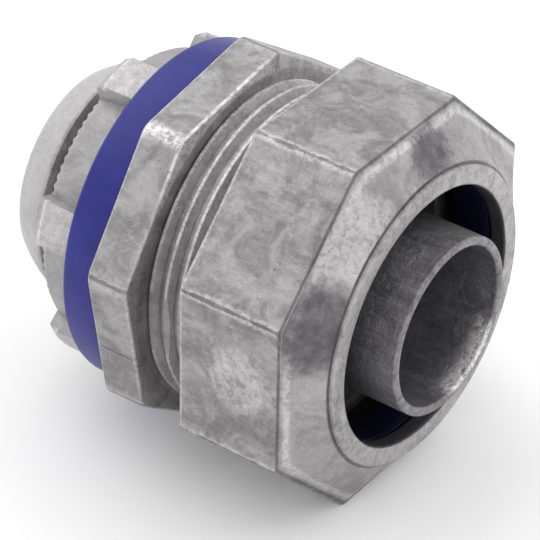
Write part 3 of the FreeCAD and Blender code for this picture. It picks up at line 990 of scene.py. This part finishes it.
def nut_masks(tree):
    """Stained corner lines; painted shade along the step, in the rim's groove and inside the nut; a bright
    rim; painted highlights on the bevel and on a low flat; and painted dark reflections at two places on the
    bevel.
    """
    along, radius = along_and_radius(tree)
    corners = grouped(tree, FLAT_CORNERS, {"Turn": 0.0, "Line Width": 0.06, "Side Width": 0.6})
    on_skirt = below(tree, along, SKIRT_END - 0.1, SKIRT_END)
    on_bevel = product(tree, above(tree, along, SKIRT_END + 0.05, SKIRT_END + 0.2),
                       above(tree, radius, RIM_RADIUS, RIM_RADIUS + 0.1))
    # Painted shade along the step where the flats end, and a painted highlight on the bevel just past it.
    step_line = between(tree, along, SKIRT_END - 0.02, SKIRT_END + 0.08, 0.03)
    step_light = product(tree, between(tree, along, SKIRT_END + 0.25, SKIRT_END + 0.6, 0.12), on_bevel)
    # Painted shade in the groove round the rim's foot.
    rim_groove = product(tree, between(tree, radius, RIM_RADIUS - 0.05, RIM_RADIUS + 0.24, 0.05),
                         between(tree, along, NUT_FRONT - 0.48, NUT_FRONT - 0.3, 0.06))
    rim_face = above(tree, along, NUT_FRONT - 0.12, NUT_FRONT - 0.04)
    back_edge = below(tree, along, NUT_BACK + 0.15, NUT_BACK + 0.4)
    # Painted dark reflections at two places on the bevel.
    dark_reflection_patches = greatest(tree, patch(tree, *BEVEL_DARK_LEFT), patch(tree, *BEVEL_DARK_TOP))
    # Painted shade inside the nut: the lip's bore, the ledge and the bore behind it.
    lip_bore = below(tree, radius, MOUTH_RADIUS + 0.05, MOUTH_RADIUS + 0.2)
    ledge = product(tree, below(tree, along, LIP_BACK + 0.05, LIP_BACK + 0.1),
                    below(tree, radius, CONE_FRONT_RADIUS + 0.1, CONE_FRONT_RADIUS + 0.2))
    bore = product(tree, below(tree, along, NUT_FRONT - 1.9, NUT_FRONT - 1.7),
                   below(tree, radius, NUT_BORE + 0.05, NUT_BORE + 0.2))
    inside = greatest(tree, lip_bore, ledge, bore)
    # Wear on the corners, the rim and the back edge, with painted highlights on the bevel and on a low flat.
    wear_and_highlight = strongest(
        tree, (product(tree, on_skirt, corners["Side"]), 0.45), (step_light, 0.5), (rim_face, 0.2),
        (back_edge, 0.5), (product(tree, patch(tree, *BEVEL_BRIGHT), on_bevel), 0.4),
        (product(tree, patch(tree, *LOW_FLAT_BRIGHT), on_skirt), 0.35))
    grime_and_shade = strongest(
        tree, (product(tree, on_skirt, corners["Line"]), 0.45), (step_line, 0.65), (rim_groove, 0.6),
        (product(tree, dark_reflection_patches, on_bevel), 0.82), (inside, 1.3))
    return wear_and_highlight, grime_and_shade, product(tree, on_bevel, 0.3)


def ferrule_masks(tree):
    """A bright end with a painted highlight inside the lip, and painted shade deep in the bore and on the
    outside further back from the end.
    """
    along, radius = along_and_radius(tree)
    lip = above(tree, along, FERRULE_END - 0.28, FERRULE_END - 0.05)
    # Painted highlight inside the lip at one place.
    inner_lip = product(tree, above(tree, along, FERRULE_END - 1.9, FERRULE_END - 0.5),
                        below(tree, radius, FERRULE_RADIUS - 0.5, FERRULE_RADIUS - 0.3),
                        patch(tree, *FERRULE_LIP_BRIGHT))
    # Painted shade deep in the bore and on the outside where it sits inside the nut.
    bore = below(tree, radius, FERRULE_RADIUS - 0.5, FERRULE_RADIUS - 0.25)
    deep = product(tree, bore, below(tree, along, FERRULE_END - 3.0, FERRULE_END - 0.5))
    outside = below(tree, along, FERRULE_END - 6.5, FERRULE_END - 1.5)
    wear_and_highlight = strongest(tree, (lip, 0.14), (inner_lip, 1.0))
    grime_and_shade = strongest(tree, (deep, 0.5), (outside, 0.4))
    return wear_and_highlight, grime_and_shade, 0.0


def locknut_masks(tree):
    """Bright edges on the lugs and the ring, a painted highlight along the lugs' back edges, and a little
    painted shade low between the lugs.
    """
    along, radius = along_and_radius(tree)
    tips = above(tree, radius, LUG_RADIUS - 0.35, LUG_RADIUS - 0.05)
    front = above(tree, along, LOCKNUT_FRONT - 0.3, LOCKNUT_FRONT - 0.1)
    # Painted highlight along the lugs' back edges.
    lug_backs = product(tree, between(tree, along, LOCKNUT_BACK + 0.75, LOCKNUT_BACK + 1.2, 0.1),
                        above(tree, radius, LUG_RADIUS - 0.6, LUG_RADIUS - 0.4))
    # Painted shade low on the ring between the lugs.
    low = below(tree, radius, LOCKNUT_RADIUS + 0.25, LOCKNUT_RADIUS + 0.6)
    wear_and_highlight = strongest(tree, (tips, 0.3), (front, 0.2), (lug_backs, 0.6))
    return wear_and_highlight, product(tree, low, 0.12), 0.35


cast_body = cast_material(
    "cast_body_zinc", body_masks, light=0.46, dark=0.22, shift=0.0, streaks=0.1, blotches=0.32)
cast_ferrule = cast_material(
    "cast_ferrule_zinc", ferrule_masks, light=0.24, dark=0.09, shift=31.0, streaks=0.35, pits=0.3,
    blotches=0.45, blue=0.006)
cast_locknut = cast_material(
    "cast_locknut_zinc", locknut_masks, light=0.46, dark=0.27, shift=17.0, streaks=0.1, pits=0.3)
cast_nut = cast_material(
    "cast_nut_zinc", nut_masks, light=0.45, dark=0.19, shift=53.0, streaks=0.12, blotches=0.3)
gasket_blue = moulded_material(
    "moulded_blue_gasket", colour=(0.006, 0.008, 0.17, 1), pale=(0.02, 0.025, 0.27, 1), shift=5.0)
# The sealing ring is the gasket's blue plastic made near black: painted shade where it sits inside the nut.
ring_blue_in_shade = moulded_material(
    "moulded_blue_ring_painted_shade", colour=(0.002, 0.002, 0.018, 1), pale=(0.004, 0.005, 0.04, 1), shift=11.0)

for make, node_name, body, slot, material in (
        (make_body, "connector_body", "body", "cast_body", cast_body),
        (make_ferrule, "ferrule", "body", "cast_ferrule", cast_ferrule),
        (make_gasket, "gasket", "gasket", "blue_gasket", gasket_blue),
        (make_locknut, "locknut", "locknut", "cast_locknut", cast_locknut),
        (make_sealing_ring, "sealing_ring", "sealing_ring", "blue_ring", ring_blue_in_shade),
        (make_nut, "gland_nut", "gland_nut", "cast_nut", cast_nut)):
    piece = make()
    smooth(piece)
    piece.data.materials.clear()
    piece.data.materials.append(material)
    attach(piece, body)
    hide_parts(node_name)


def look_at_target(thing):
    """Turns a camera or a lamp towards the camera's target."""
    view = CAMERA_TARGET - thing.location
    thing.rotation_euler = view.to_track_quat("-Z", "Y").to_euler()


def make_camera():
    bpy.ops.object.camera_add(location=CAMERA_PLACE)
    camera = bpy.context.object
    look_at_target(camera)
    camera.rotation_euler.rotate_axis("Z", CAMERA_ROLL)
    camera.data.lens = CAMERA_LENS
    camera.data.sensor_width = CAMERA_SENSOR
    camera.data.clip_start = CAMERA_NEAR
    camera.data.clip_end = CAMERA_FAR
    bpy.context.scene.camera = camera


def make_floor():
    bpy.ops.mesh.primitive_plane_add(size=FLOOR_SIZE)
    floor = bpy.context.object
    floor.name = "floor"
    material, shader = new_material("pale_floor")
    shader.inputs["Base Color"].default_value = FLOOR_COLOUR
    shader.inputs["Roughness"].default_value = FLOOR_ROUGHNESS
    floor.data.materials.append(material)


def area_light(name, place, size, power):
    """A square lamp that shines at the camera's target."""
    bpy.ops.object.light_add(type="AREA", location=place)
    lamp = bpy.context.object
    lamp.name = name
    look_at_target(lamp)
    lamp.data.size = size
    lamp.data.energy = power


def light_studio():
    """A white studio all round, with a soft key light and a weaker fill."""
    world = bpy.data.worlds.new("studio")
    world.use_nodes = True
    background = world.node_tree.nodes["Background"]
    background.inputs["Color"].default_value = WORLD_COLOUR
    background.inputs["Strength"].default_value = 1.0
    bpy.context.scene.world = world
    area_light("key", KEY_PLACE, KEY_SIZE, KEY_POWER)
    area_light("fill", FILL_PLACE, FILL_SIZE, FILL_POWER)


make_camera()
make_floor()
light_studio()

bpy.context.scene.view_settings.view_transform = "Standard"
